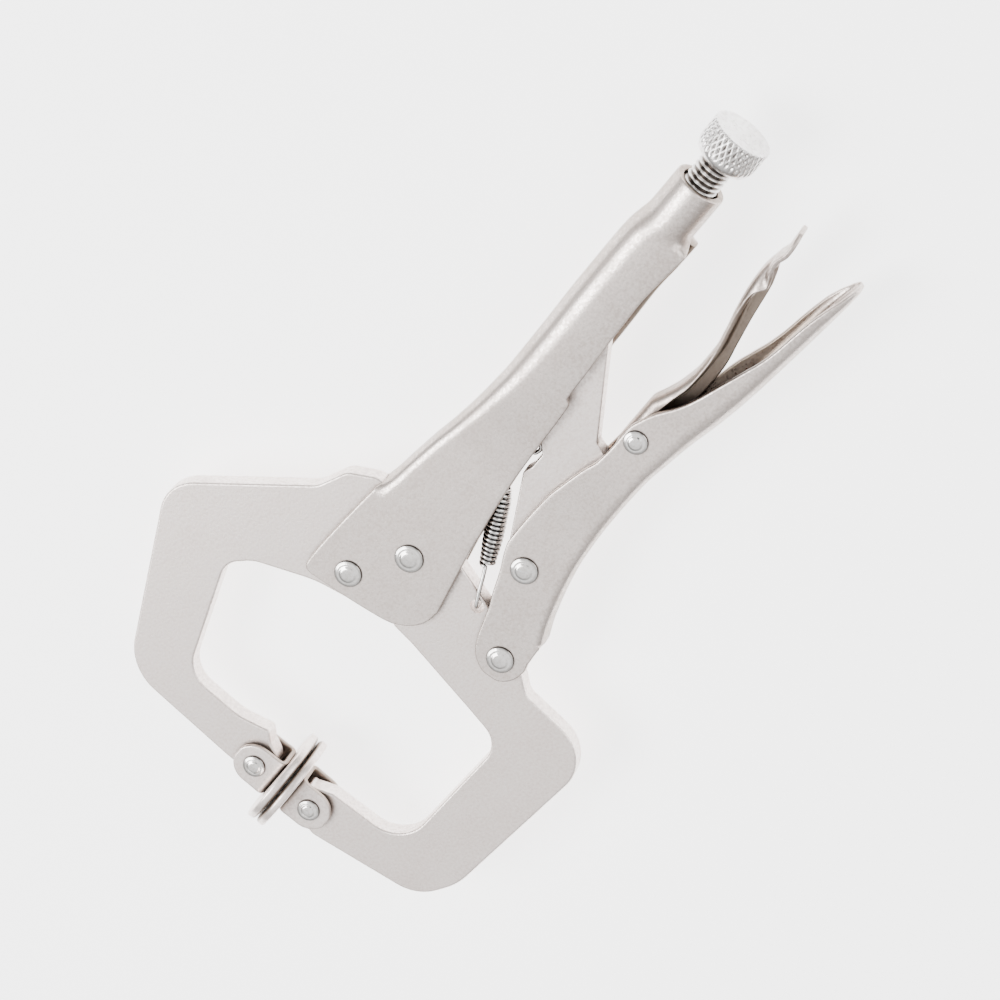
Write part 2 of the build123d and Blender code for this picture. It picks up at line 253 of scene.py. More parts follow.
def grain_group():
    """Blasted grain: colour, roughness and normal from two noises, and a crevice mask for painted shade."""
    g = bpy.data.node_groups.new("blasted_grain_and_crevice_shade", "ShaderNodeTree")
    socket(g, "Light", "NodeSocketColor", value=(0.8, 0.8, 0.8, 1))
    socket(g, "Shade", "NodeSocketColor", value=(0.6, 0.6, 0.6, 1))
    socket(g, "Grit", "NodeSocketFloat", value=2600.0)
    socket(g, "Depth", "NodeSocketFloat", value=0.3)
    socket(g, "Smooth", "NodeSocketFloat", value=0.3)
    socket(g, "Rough", "NodeSocketFloat", value=0.45)
    socket(g, "Color", "NodeSocketColor", out=True)
    socket(g, "Roughness", "NodeSocketFloat", out=True)
    socket(g, "Normal", "NodeSocketVector", out=True)
    socket(g, "Crevice Shade", "NodeSocketFloat", out=True)
    given = g.nodes.new("NodeGroupInput")
    made = g.nodes.new("NodeGroupOutput")
    where = g.nodes.new("ShaderNodeTexCoord")
    grit = add(g, "ShaderNodeTexNoise", Detail=3.0, Roughness=0.65)
    cloud = add(g, "ShaderNodeTexNoise", Scale=160.0, Detail=4.0, Roughness=0.6)
    for noise in (grit, cloud):
        g.links.new(where.outputs["Object"], noise.inputs["Vector"])
    g.links.new(given.outputs["Grit"], grit.inputs["Scale"])
    both = g.nodes.new("ShaderNodeMath")
    both.operation = "MULTIPLY_ADD"
    g.links.new(grit.outputs["Fac"], both.inputs[0])
    both.inputs[1].default_value = GRIT_CONTRAST
    soft = ranged(g, (cloud, "Fac"), -1.7, -0.5)   # brings the middle of the sum back to one half
    g.links.new(soft.outputs["Result"], both.inputs[2])
    shade = mixed_colour(g, (both, 0), (given, "Shade"), (given, "Light"))
    g.links.new(shade.outputs[2], made.inputs["Color"])
    rough = g.nodes.new("ShaderNodeMapRange")
    g.links.new(both.outputs[0], rough.inputs["Value"])
    g.links.new(given.outputs["Rough"], rough.inputs["To Min"])
    g.links.new(given.outputs["Smooth"], rough.inputs["To Max"])
    g.links.new(rough.outputs["Result"], made.inputs["Roughness"])
    bump = g.nodes.new("ShaderNodeBump")
    bump.inputs["Distance"].default_value = GRIT_DEPTH
    g.links.new(given.outputs["Depth"], bump.inputs["Strength"])
    g.links.new(grit.outputs["Fac"], bump.inputs["Height"])
    g.links.new(bump.outputs["Normal"], made.inputs["Normal"])
    near = add(g, "ShaderNodeAmbientOcclusion", Distance=CREVICE_REACH)
    near.samples = 6
    crevice = ranged(g, (near, "AO"), 1.25, -0.35)   # below 0 in the open, so only crevices get painted shade
    g.links.new(crevice.outputs["Result"], made.inputs["Crevice Shade"])
    return g


GRAIN = grain_group()
print("grain group of", len(GRAIN.nodes), "nodes")

# %% [markdown]
# ## Finishes
# Each finish is a Principled shader with the metal's own numbers. It also reads an attribute that the
# meshes carry, a mask of painted shade: 1 within a bend, at the root of a thread or under a rivet's rim,
# where shade falls and a dark brown is painted, less on cut edges and sides, and 0 on the open faces.

# %% Finishes
# painted shade: the colour of the painted contact shadow in crevices
CREVICE_SHADE_COLOUR = (0.07, 0.055, 0.045, 1)
# painted shade: the dark brown where the painted shade mask is 1
PAINTED_SHADE_BROWN = (0.27, 0.215, 0.175)
SATIN_GRIT = 1800.0        # noise cells to the metre on the blasted parts


def metal(name, light, shade, smooth, rough, depth, grit=2600.0, inside=PAINTED_SHADE_BROWN, base=0.92):
    """A plated metal: the grain group feeds the shader, with painted shade in the crevices and by an
    attribute.
    """
    m = bpy.data.materials.new(name)
    m.use_nodes = True
    tree = m.node_tree
    shader = tree.nodes["Principled BSDF"]
    shader.inputs["Metallic"].default_value = base
    grain = tree.nodes.new("ShaderNodeGroup")
    grain.node_tree = GRAIN
    for key, value in (("Light", (*light, 1)), ("Shade", (*shade, 1)), ("Grit", grit), ("Depth", depth),
                       ("Smooth", smooth), ("Rough", rough)):
        grain.inputs[key].default_value = value
    # painted shade: a contact shadow painted into the crevices
    crevice_shaded = mixed_colour(tree, (grain, "Crevice Shade"), (grain, "Color"), CREVICE_SHADE_COLOUR)
    # painted shade: the mesh's painted shade attribute mixes in the metal's shade colour
    mask = tree.nodes.new("ShaderNodeAttribute")
    mask.attribute_name = "inside"
    dark = mixed_colour(tree, (mask, "Fac"), (crevice_shaded, 2), (*inside, 1))
    tree.links.new(dark.outputs[2], shader.inputs["Base Color"])
    tree.links.new(grain.outputs["Roughness"], shader.inputs["Roughness"])
    tree.links.new(grain.outputs["Normal"], shader.inputs["Normal"])
    return m


SATIN = metal("satin nickel", (0.93, 0.845, 0.8), (0.7, 0.615, 0.575), 0.3, 0.48, 0.7, SATIN_GRIT)
PRESSED = metal("pressed satin nickel", (0.82, 0.74, 0.695), (0.57, 0.495, 0.455), 0.26, 0.42, 0.7,
                SATIN_GRIT)
# painted shade: the lever gets a darker, browner copy of the satin nickel
LEVER = metal("lever satin nickel with painted shade", (0.62, 0.54, 0.495), (0.4, 0.34, 0.305), 0.28, 0.42, 0.7, SATIN_GRIT)
# painted shade colours below: the rivet's foot, the thread's and knurl's roots, the coil's hollow
BRIGHT = metal("bright rivet steel", (0.9, 0.88, 0.86), (0.7, 0.67, 0.64), 0.08, 0.2, 0.25, 1500.0,
               inside=(0.05, 0.04, 0.035), base=1.0)
KNURLED = metal("bright knurled steel", (0.9, 0.88, 0.87), (0.6, 0.57, 0.55), 0.12, 0.3, 0.3, 1800.0,
                inside=(0.08, 0.065, 0.055), base=1.0)
WIRE = metal("drawn spring wire", (0.85, 0.84, 0.83), (0.6, 0.58, 0.56), 0.12, 0.25, 0.1,
             inside=(0.02, 0.018, 0.016), base=1.0)
print("finishes:", ", ".join(m.name for m in (SATIN, PRESSED, LEVER, BRIGHT, KNURLED, WIRE)))

# %% [markdown]
# ## Sheet metal from one surface
# A pressed part is one surface with a thickness and a rounded cut edge. The outer surface is a grid. The
# inner one is the same grid moved in along the normals. Between them runs the cut edge: from each border
# point a quarter circle leads out and down, then the wall, then a quarter circle back in. A grid may have a
# notch cut from its front, where a handle has cheeks but no back.

# %% Thick sheet


def border_of(nu, nv, notch):
    """Index pairs once round the grid; notch = (columns, first row, last row) is left out of its front."""
    a = [np.stack([np.arange(nu - 1), np.zeros(nu - 1, int)], 1),
         np.stack([np.full(nv - 1, nu - 1), np.arange(nv - 1)], 1)]
    if notch is None:
        a += [np.stack([np.arange(nu - 1, 0, -1), np.full(nu - 1, nv - 1)], 1),
              np.stack([np.zeros(nv - 1, int), np.arange(nv - 1, 0, -1)], 1)]
        return np.concatenate(a)
    columns, first, last = notch
    a += [np.stack([np.arange(nu - 1, 0, -1), np.full(nu - 1, nv - 1)], 1),
          np.stack([np.zeros(nv - 1 - last, int), np.arange(nv - 1, last, -1)], 1),
          np.stack([np.arange(columns), np.full(columns, last)], 1),
          np.stack([np.full(last - first, columns), np.arange(last, first, -1)], 1),
          np.stack([np.arange(columns, 0, -1), np.full(columns, first)], 1),
          np.stack([np.zeros(first, int), np.arange(first, 0, -1)], 1)]
    return np.concatenate(a)


SIDE_SHADE = 0.85      # painted shade where the sheet faces sideways
RIM_TOP = (0.3, 0.75)  # the same on the cut edge's outer curve, from its start to its end
RIM_LOW = 0.9          # and on its inner curve


def thick_sheet(outer, thickness, notch=None, edge=EDGE, steps=3):
    """Points, quads and painted shade mask of a closed sheet.

    outer is an nu by nv by 3 grid whose cross product of u and v steps points outwards. thickness is one
    value per column. The cut edge is point + out * edge * sin(a) - normal * edge * (1 - cos(a)). The flat
    ears beside a notch keep a normal square to the mid-plane, because their own rows run together.
    """
    nu, nv, _ = outer.shape
    du, dv = np.gradient(outer, axis=0), np.gradient(outer, axis=1)
    normal = unit(np.cross(du, dv))
    if notch is not None:
        ears = int(0.9 * notch[0])
        normal[:ears] = 0
        normal[:ears, :, 2] = np.sign(outer[:ears, :, 2])
    inner = outer - normal * np.broadcast_to(thickness, (nu,))[:, None, None]
    quads = grid_quads(nu, nv)
    if notch is not None:
        cell = np.stack(np.meshgrid(np.arange(nu - 1), np.arange(nv - 1), indexing="ij"), -1).reshape(-1, 2)
        gone = (cell[:, 0] < notch[0]) & (cell[:, 1] >= notch[1]) & (cell[:, 1] < notch[2])
        quads = quads[~gone]
    ring = border_of(nu, nv, notch)
    p, n = outer[ring[:, 0], ring[:, 1]], normal[ring[:, 0], ring[:, 1]]
    q = inner[ring[:, 0], ring[:, 1]]
    along = unit(np.roll(p, -1, 0) - np.roll(p, 1, 0))
    out = unit(np.cross(along, n))
    angles = np.radians(np.linspace(0, 90, steps + 1)[1:])[:, None, None]
    top = p + out * edge * np.sin(angles) - n * edge * (1 - np.cos(angles))
    low = (q + out * edge * np.sin(angles) + n * edge * (1 - np.cos(angles)))[::-1]
    rim = np.concatenate([top, low])
    points = np.concatenate([outer.reshape(-1, 3), inner.reshape(-1, 3), rim.reshape(-1, 3)])
    first = ring[:, 0] * nv + ring[:, 1]
    count = len(first)
    rows = [first] + [2 * nu * nv + k * count + np.arange(count) for k in range(len(rim))] + [first + nu * nv]
    rows = np.array(rows)
    nxt = np.roll(rows, -1, 1)
    walls = np.stack([rows[:-1], rows[1:], nxt[1:], nxt[:-1]], -1).reshape(-1, 4)
    # painted shade: the cut edge darker towards its inner curve, the sides darker the more they face
    # sideways, the inner surface fully
    shades = np.concatenate([np.linspace(*RIM_TOP, len(top)), np.full(len(low), RIM_LOW)])
    sides = SIDE_SHADE * (1 - np.abs(normal[..., 2])).ravel()
    inside = np.concatenate([sides, np.ones(nu * nv), np.repeat(shades, count)])
    quads = np.concatenate([quads, quads[:, ::-1] + nu * nv, walls])
    used = np.zeros(len(points), bool)
    used[quads.ravel()] = True
    renumber = np.cumsum(used) - 1
    return points[used], renumber[quads], inside[used]


# %% [markdown]
# ## A channel's section
# Both handles and the lever are channels: two cheeks, two bends and a back. Half a section is laid out as
# rows, from the lip along the cheek, round the bend and over the back to the middle, then mirrored. Each
# row keeps its number along the whole handle, so the rows run like the grain lines of the sheet.

# %% Channel rows
CHEEK_ROWS, BEND_ROWS, BACK_ROWS = 22, 10, 7
EAR_ROWS = CHEEK_ROWS + BEND_ROWS
STRAIGHT = 0.2         # least straight cheek left below a bend, mm


def channel_rows(x, lip, back, half, bend, barrel=0.0):
    """Half sections as an array (columns, rows, 3), from the lip to the middle of the back.

    Back: straight out from z = 0. Bend: an arc of radius bend through the angle phi. Cheek: straight on
    from the arc's end to the lip. phi is 90 degrees, or less where the lip stops short inside the bend.
    barrel pulls the cheek in towards the lip by barrel times the square of the way down.
    """
    x, lip, back, half, bend = (np.broadcast_to(np.asarray(a, float), x.shape)[:, None]
                                for a in (x, lip, back, half, bend))
    side = np.sign(back - lip)
    height = np.abs(back - lip)
    short = np.arccos(1 - np.clip(height - STRAIGHT, 0.05, 0.999 * bend) / bend)
    phi = np.where(height >= bend + STRAIGHT + 0.05, np.pi / 2, short)
    length = (height - bend * (1 - np.cos(phi))) / np.sin(phi)
    t = np.linspace(1, 0, CHEEK_ROWS)[None] * length
    cheek_down = bend * (1 - np.cos(phi)) + t * np.sin(phi)
    cheek_z = half - bend + bend * np.sin(phi) + t * np.cos(phi) - barrel * (t / length) ** 2
    a = phi * np.linspace(1, 0, BEND_ROWS + 1)[None, 1:]
    bend_down = bend * (1 - np.cos(a))
    bend_z = half - bend + bend * np.sin(a)
    back_z = (half - bend) * np.linspace(1, 0, BACK_ROWS + 1)[None, 1:]
    y = back - side * np.concatenate([cheek_down, bend_down, 0 * back_z], 1)
    z = np.concatenate([cheek_z, bend_z, back_z], 1)
    return np.stack([x + 0 * y, y, z], -1)


def both_sides(near, far, turn):
    """Near and far half sections as one; turn puts the lips in the order that makes normals point out."""
    mirrored = far[:, ::-1][:, 1:] * (1, 1, -1)
    full = np.concatenate([near, mirrored], 1)
    return full[:, ::-1] if turn else full


def with_front(front_edge, joint, flat_joint, columns, late=0.9):
    """Flat cheek columns between a front edge and the joint column of a channel.

    Each row runs straight from the front edge to the joint. The bend's rows stay flat and roll in only
    in the last part, from late to 1, where the back of the channel begins.
    """
    s = (1 - np.cos(np.linspace(0, np.pi / 2, columns + 1)[:-1]))[:, None, None]
    flat = front_edge[None] * (1 - s) + flat_joint[None] * s
    roll = smoothstep(late, 1.0, s)
    return flat + (joint - flat_joint)[None] * roll


# %% [markdown]
# ## Upper handle
# It starts as two flat cheeks that grip the fixed jaw, closes over the back just behind the jaw's shoulder,
# swells to a round palm section, and its tail is rolled right round to hold the screw. The roll is a blend:
# the same rows lie first on the U and last on a circle round the screw's axis, and the lips close over a
# shorter length than the back. The far lip hangs a little lower than the near one in the palm.

# %% Upper handle
TUBE_R = 4.5
TAIL_X = 87.0
WEB_X = 8.6            # where the back closes over
CHEEK_HALF = 3.15      # half width over the cheeks at the jaws
LIPS_ROLL = (76.6, 79.0)
BACK_ROLL = (73.6, 81.2)
SEAM = np.radians(-86)
TOP_CROWN = 0.42       # how much the ears' top edge is arched
upper_back = [(8.0, 11.85), (10, 11.45), (15, 10.85), (20, 10.2), (25, 9.35), (30, 8.75), (35, 8.35),
              (40, 8.15), (50, 8.3), (60, 8.55), (70, 8.6), (77, 8.3), (80, 7.75), (87, 7.65)]
upper_lip = [(8.0, -7.2), (12.6, -6.6), (19.1, -5.6), (25.2, -4.9), (33.5, -4.35), (40, -4.0),
             (42.6, -3.75), (43.5, -2.85), (50, -2.5), (60, -1.95), (66, -1.75), (72, -2.1), (77, -2.6),
             (87, -3.3)]
upper_far_drop = [(8, 0), (43, 0), (48, -0.5), (60, -0.95), (70, -0.9), (76, -0.5), (79, 0), (87, 0)]
upper_half = [(8, CHEEK_HALF), (22, CHEEK_HALF), (30, 3.5), (38, 4.1), (46, 4.42), (60, 4.5), (87, 4.5)]
upper_bend = [(8, 2.0), (22, 2.1), (32, 2.7), (46, 3.8), (60, 4.15), (87, 4.2)]
upper_front = [(-5.0, -9.5), (-7.4, -9.25), (-9.6, -8.2), (-11.3, -6.5), (-12.5, -4.4), (-13.4, 0),
               (-14.0, 4), (-14.6, 9), (-14.8, 11.7), (-14.6, 12.4), (-14.2, 12.65)]


def rolled(rows, x):
    """The tail's rows wound round the screw: the lips close first, the back follows."""
    length = np.concatenate([[0], np.cumsum(np.linalg.norm(np.diff(rows[-1], axis=0), axis=1))])
    share = length / length[-1]
    a = SEAM + (np.radians(90) - SEAM) * share
    circle = np.stack([0 * a, SCREW_Y + TUBE_R * np.sin(a), TUBE_R * np.cos(a)], -1)
    circle = circle[None] + np.stack([x, 0 * x, 0 * x], -1)[:, None]
    start = LIPS_ROLL[0] + (BACK_ROLL[0] - LIPS_ROLL[0]) * share
    end = LIPS_ROLL[1] + (BACK_ROLL[1] - LIPS_ROLL[1]) * share
    roll = smoothstep(start[None], end[None], x[:, None])[..., None]
    return rows * (1 - roll) + circle * roll


def fronted(rows, front_path, corner_y, columns, lift=0.0):
    """Rows with flat ears in front of them: each row runs from the ear's front edge to the first column.

    lift arches the edge at the last row by half a sine wave, and fades with the sixth power below it.
    """
    joint = rows[0]
    flat = joint.copy()
    last = flat[CHEEK_ROWS - 1, 1]
    flat[CHEEK_ROWS:EAR_ROWS, 1] = last + (corner_y - last) * np.linspace(0, 1, BEND_ROWS + 1)[1:]
    flat[:, 2] = CHEEK_HALF
    share = (flat[:EAR_ROWS, 1] - flat[0, 1]) / (corner_y - flat[0, 1])
    edge = np.concatenate([path_through(front_path, share), np.full((EAR_ROWS, 1), CHEEK_HALF)], 1)
    front = with_front(edge, joint[:EAR_ROWS], flat[:EAR_ROWS], columns)
    front[:, :, 1] += lift * np.sin(np.pi * np.linspace(0, 1, columns))[:, None] * share[None] ** 6
    rest = np.repeat(front[:, -1:], rows.shape[1] - EAR_ROWS, 1)
    return np.concatenate([np.concatenate([front, rest], 1), rows])


def upper_handle():
    """The channel's rows, wound to a tube at the tail, with the flat ears in front."""
    x = np.concatenate([np.linspace(WEB_X, 41.5, 70), np.linspace(42, 44, 13),
                        np.linspace(44.6, TAIL_X - EDGE, 90)])
    half, bend = profile(upper_half, x), profile(upper_bend, x)
    back, lip = profile(upper_back, x), profile(upper_lip, x) + EDGE
    swell = 0.45 * smoothstep(24, 46, x)[:, None]
    columns = 44
    sides = []
    for low in (lip, lip + profile(upper_far_drop, x)):
        rows = rolled(channel_rows(x, low, back, half, bend, swell), x)
        sides.append(fronted(rows, upper_front, upper_back[0][1], columns, TOP_CROWN))
    full = both_sides(*sides, turn=False)
    nv = full.shape[1]
    points, quads, inside = thick_sheet(full, SHEET, (columns, EAR_ROWS - 1, nv - EAR_ROWS))
    piece = new_piece("upper_handle_sheet", points, quads, PRESSED, {"inside": inside})
    return mounted(piece, "fixed_half", "satin_nickel", "upper_handle")


upper_handle()

# %% [markdown]
# ## Lower handle
# The same press work the other way up: ears round the handle rivet, a back that dips under the lever, and a
# tail that spreads into a gutter and closes to a spoon-shaped end, beaten thinner there.

# %% Lower handle
lower_back = [(2.0, -27.6), (3.0, -27.25), (5.5, -26.2), (8.2, -25.3), (15, -23.55), (20.7, -22.6),
              (28.8, -21.95), (35, -21.85), (39.6, -21.95), (45, -22.6), (50, -23.3), (57, -24.6),
              (65, -25.6), (72, -26.2), (80, -26.8), (88, -27.25), (90.8, -27.45)]
lower_lip = [(2.0, -16.05), (4.3, -14.95), (9.6, -13.0), (13.0, -11.5), (15.3, -10.85), (20, -10.75),
             (26, -10.9), (30, -11.5), (35, -12.5), (38, -13.35), (42, -13.6), (46.5, -13.55),
             (49.3, -14.35), (51.2, -15.15), (53, -16.2), (54.9, -17.35), (57.4, -18.45), (59.8, -19.25),
             (62.9, -20.15), (68.5, -21.85), (71, -22.6), (74.8, -23.35), (78.6, -23.8), (82.6, -24.4),
             (84.9, -24.9), (88.3, -25.9), (90.8, -26.6)]
lower_far_rise = [(2, 0), (58, 0), (66, 0.55), (84, 0.45), (90, 0), (91, 0)]
lower_half = [(2, CHEEK_HALF), (22, CHEEK_HALF), (41, 3.9), (50, 3.9), (66, 4.5), (83, 4.5), (87, 4.2),
              (89.3, 3.4), (90.3, 2.6), (90.8, 1.9)]
lower_bend = [(2, 1.8), (22, 1.9), (40, 2.2), (60, 2.9), (80, 2.6), (88, 1.6), (90.8, 1.2)]
lower_front = [(-3.2, -17.75), (-5.4, -18.75), (-7.2, -20.4), (-8.15, -22.6), (-8.0, -24.7),
               (-6.9, -26.3), (-5.0, -27.25), (-3.2, -27.45), (-1.6, -27.1)]
HEEL_Y = -26.7         # where the ears meet the back, mm
TIP_THINNING = 0.45    # how much thinner the tip is beaten, mm


def lower_handle():
    """The channel's rows, with the flat ears in front and a thinner tip with less painted shade."""
    x = np.concatenate([np.linspace(3.0, 83, 150), np.linspace(83.4, 90.8 - EDGE, 26)])
    half, bend, back = profile(lower_half, x), profile(lower_bend, x), profile(lower_back, x)
    lip = profile(lower_lip, x) - EDGE
    columns = 30
    sides = []
    for top in (lip, lip + profile(lower_far_rise, x)):
        rows = channel_rows(x, top, back, half, bend)
        sides.append(fronted(rows, lower_front, HEEL_Y, columns))
    full = both_sides(*sides, turn=True)
    nv = full.shape[1]
    thickness = np.concatenate([np.full(columns, SHEET), SHEET - TIP_THINNING * smoothstep(80, 90, x)])
    points, quads, inside = thick_sheet(full, thickness, (columns, EAR_ROWS - 1, nv - EAR_ROWS))
    # painted shade fades out on the spoon-shaped tip
    inside = inside * (1 - 0.8 * smoothstep(78, 89, points[:, 0]))
    piece = new_piece("lower_handle_sheet", points, quads, PRESSED, {"inside": inside})
    return mounted(piece, "lower_handle", "satin_nickel", "lower_handle")


lower_handle()

# %% [markdown]
# ## Release lever
# A narrow gutter, open below, that lies in the lower handle. Its near cheek is scooped out between the
# lower handle's lip and the thumb tab. The tail is beaten flat to that tab: the rows blend from the U to a
# flat strip, and the plan narrows to a round end.

# %% Release lever
LEVER_SHEET = 0.8
TAB_CROWN = 0.3        # how far the tab's edges drop below its middle, mm
lever_back = [(40.6, -14.3), (41.6, -13.7), (44, -13.35), (51.7, -13.3), (54.3, -14.2), (57.4, -15.2),
              (61.7, -15.85), (66, -15.75), (70.4, -15.0), (74.8, -13.95), (79.1, -13.2), (83, -12.95),
              (86, -13.3), (88.2, -13.85), (90.5, -13.7), (92.2, -13.55)]
lever_lip = [(40.6, -15.4), (42.0, -17.3), (45, -18.7), (52, -19.1), (60, -19.5), (62.8, -19.4),
             (68.5, -18.35), (73.4, -17.4), (78.5, -16.6), (81.3, -16.1), (83.9, -15.8), (86.4, -15.4),
             (92.2, -14.6)]
lever_scoop = [(40.6, 0), (47.4, 0), (50.2, 3.4), (54.9, 3.2), (58.4, 2.75), (62, 2.65), (68.3, 2.35),
               (74.0, 2.5), (77.1, 2.4), (79.0, 2.0), (80.4, 1.0), (81.6, 0), (92.2, 0)]
lever_half = [(40.6, 2.35), (50, 2.4), (62, 3.0), (84, 3.0), (89.5, 2.95), (91.2, 2.4), (91.9, 1.7),
              (92.2, 1.1)]


def release_lever():
    """beaten is 0 where the rows are a channel and 1 where they are a flat strip."""
    x = np.concatenate([np.linspace(40.6 + EDGE, 87, 150), np.linspace(87.4, 92.2 - EDGE, 22)])
    half, back, lip = profile(lever_half, x), profile(lever_back, x), profile(lever_lip, x) + EDGE
    bend = np.minimum(1.7, 0.8 * (back - lip))
    beaten = smoothstep(80.0, 86.5, x)[:, None, None]
    sides = []
    for low in (lip + profile(lever_scoop, x), lip):
        rows = channel_rows(x, low, back, half, bend)
        strip_z = half[:, None] * np.linspace(1, 0, rows.shape[1])[None]
        strip_y = back[:, None] - TAB_CROWN * (strip_z / 3.0) ** 2
        strip = np.stack([x[:, None] + 0 * strip_z, strip_y, strip_z], -1)
        sides.append(rows * (1 - beaten) + strip * beaten)
    full = both_sides(*sides, turn=False)
    points, quads, inside = thick_sheet(full, LEVER_SHEET, edge=0.2)
    # no painted shade on the thumb tab
    inside = inside * (1 - smoothstep(80, 84, points[:, 0]))
    piece = new_piece("release_lever_sheet", points, quads, LEVER, {"inside": inside})
    return mounted(piece, "release_lever", "satin_nickel", "release_lever")


release_lever()

# %% [markdown]
# ## Turned pieces
# A rivet head, the pad plates and the knob are turned or upset round an axis. Their side profile is carried
# round in a circle: a point at radius r and height h goes to r cos a, r sin a, h. The pole is one point with
# a fan of triangles, so the top is closed without a pinch.

# %% Turn a profile


def turned(name, profile_rh, centre, axis, material, segments=96, mark=None, radius=None):
    """A closed turned solid; profile_rh runs from the axis at one end to the axis at the other.

    radius(r, h, a), if given, returns the radius of each point after the turn, for flutes and threads.
    """
    rh = np.array(profile_rh, float)
    body = rh[1:-1]
    a = np.linspace(0, 2 * np.pi, segments, endpoint=False)
    r = body[:, 0][:, None] + 0 * a[None]
    h = body[:, 1][:, None] + 0 * a[None]
    if radius is not None:
        r = radius(r, h, a[None])
    side, up = {"x": ((1, 2), 0), "y": ((2, 0), 1), "z": ((0, 1), 2)}[axis]
    p = np.zeros((*r.shape, 3))
    p[..., side[0]], p[..., side[1]], p[..., up] = r * np.cos(a), r * np.sin(a), h
    ends = np.zeros((2, 3))
    ends[:, up] = rh[[0, -1], 1]
    points = np.concatenate([p.reshape(-1, 3), ends]) + np.asarray(centre, float)
    quads = grid_quads(len(body), segments, close_v=True)[:, ::-1]
    k = np.arange(segments)
    last = (len(body) - 1) * segments
    pole = np.full(segments, len(points) - 2)
    ahead = (k + 1) % segments
    fans = np.concatenate([np.stack([ahead, k, pole], 1), np.stack([last + k, last + ahead, pole + 1], 1)])
    extra = None
    # mark(r, h) gives the painted shade mask of the points
    if mark is not None:
        extra = {"inside": np.concatenate([mark(r, h).ravel(), [0, 0]])}
    return new_piece(name, points, quads, material, extra, fans, sharp=50.0)


# %% [markdown]
# ## Rivets
# A rivet is upset by a die with a ringed face, so its head is a low dome with a shallow ring pressed into
# it, a soft shoulder and a steep rim whose foot on the sheet is a dark crevice of painted shade. One
# function makes them all; their places, radii and heights are measured from the CAD rivets.

# %% Rivets
HEAD_H = 0.8           # height of a head over the sheet, mm
SHOULDER_R = 0.3       # width of the rounded shoulder, mm


def rivet(node, body):
    """Over the share t of the radius a head falls by (HEAD_H - 0.42) t^2.4; both ends are alike."""
    low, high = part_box(node)
    size = (np.array(high) - np.array(low)) / MM
    centre = pin(node)
    r, top = size[0] / 2, size[2] / 2
    t = np.linspace(0, 1, 16)[1:]
    dome_r = (r - SHOULDER_R) * t
    pressed_ring = 0.1 * np.exp(-((t - 0.72) / 0.1) ** 2)
    dome_h = top - (HEAD_H - 0.42) * t ** 2.4 - pressed_ring
    shoulder = np.radians(np.linspace(20, 90, 6))
    edge_r = r - SHOULDER_R + SHOULDER_R * np.sin(shoulder)
    edge_h = dome_h[-1] - 0.25 * (1 - np.cos(shoulder))
    head = [(0, top)] + list(zip(dome_r, dome_h)) + list(zip(edge_r, edge_h))
    head += [(r, top - HEAD_H + 0.1), (r - 0.14, top - HEAD_H + 0.02)]
    outline = head + [(rr, -hh) for rr, hh in reversed(head)]
    # painted shade at the head's foot and on the shank, where the rivet meets the sheet
    piece = turned(node + "_upset", outline[::-1], centre, "z", BRIGHT, 72,
                   mark=lambda rr, hh: np.clip((top - HEAD_H + 0.5 - np.abs(hh)) / 0.25, 0, 1))
    return mounted(piece, body, "bright_steel", node)


for body, nodes in frame["record"]["behaviour"]["bodies"].items():
    for node in nodes:
        if node.endswith("rivet"):
            rivet(node, body)

# %% [markdown]
# ## Adjusting screw
# A metric thread is a triangle wave wound round a rod: at height h and turn a, the wave's phase is h over
# the pitch minus the turns. The radius follows the wave, and the thread fades out into a plain point.

# %% Adjusting screw
PITCH = 1.0
THREAD_DEPTH = 0.56    # mm
POINT = 1.2            # length of the plain point, mm
screw_low, screw_high = [(np.array(c) - PIVOT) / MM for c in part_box("adjusting_screw")]
SCREW_R = (screw_high[1] - screw_low[1]) / 2


def threaded(r, h, a):
    """Radius less a clipped triangle wave, faded out towards the point."""
    phase = (h / PITCH - a / (2 * np.pi)) % 1.0
    wave = np.clip(np.abs(phase - 0.5) * 2 * 1.25 - 0.12, 0, 1)
    start = smoothstep(screw_low[0] + POINT, screw_low[0] + 2.0, h)
    return r - THREAD_DEPTH * wave * start * (r > SCREW_R - 0.1)


def adjusting_screw():
    """A pointed rod of 420 rings, enough for the thread's wave to come out crisp."""
    x0, x1 = screw_low[0], screw_high[0]
    rod = [(SCREW_R, v) for v in np.linspace(x0 + POINT, x1 - 0.1, 420)]
    outline = [(0, x0), (SCREW_R - POINT, x0), (SCREW_R - 0.02, x0 + 1.15)] + rod + [(0, x1)]
    # painted shade in the thread's roots
    piece = turned("adjusting_screw_thread", outline, (0, SCREW_Y, 0), "x", KNURLED, 60,
                   mark=lambda r, hh: np.clip((SCREW_R - 0.15 - r) / 0.25, 0, 1), radius=threaded)
    return mounted(piece, "adjusting_screw", "bright_steel", "adjusting_screw")


adjusting_screw()

# %% [markdown]
# ## Knob
# Crossed knurling is rolled into the rim: two sets of grooves that lean opposite ways and leave diamonds
# between them. The radius of the band's points goes in and out with the angle and the height. The underside
# swells out like a mushroom from the screw, and the face is a little domed and polished.

# %% Knob
TEETH = 32             # round the rim, in each set
KNURL_DEPTH = 0.42     # mm
ROUNDING = 0.5         # of the rim under the face, mm
knob_low, knob_high = [(np.array(c) - PIVOT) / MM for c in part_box("screw_knob")]
KNOB_R = (knob_high[1] - knob_low[1]) / 2


def knurled(r, h, a):
    """Crossed teeth: the higher of two folded sines, one leaning each way, only on the band."""
    band = smoothstep(knob_low[0] + 1.5, knob_low[0] + 2.2, h)
    band = band * (1 - smoothstep(knob_high[0] - 0.4, knob_high[0] - 0.25, h))
    lean = 0.09 * (h - knob_low[0])
    half = TEETH / 2
    teeth = np.maximum(np.abs(np.sin(half * (a + lean))), np.abs(np.sin(half * (a - lean))))
    return r - KNURL_DEPTH * (1 - teeth) * band * (r > 4.4)


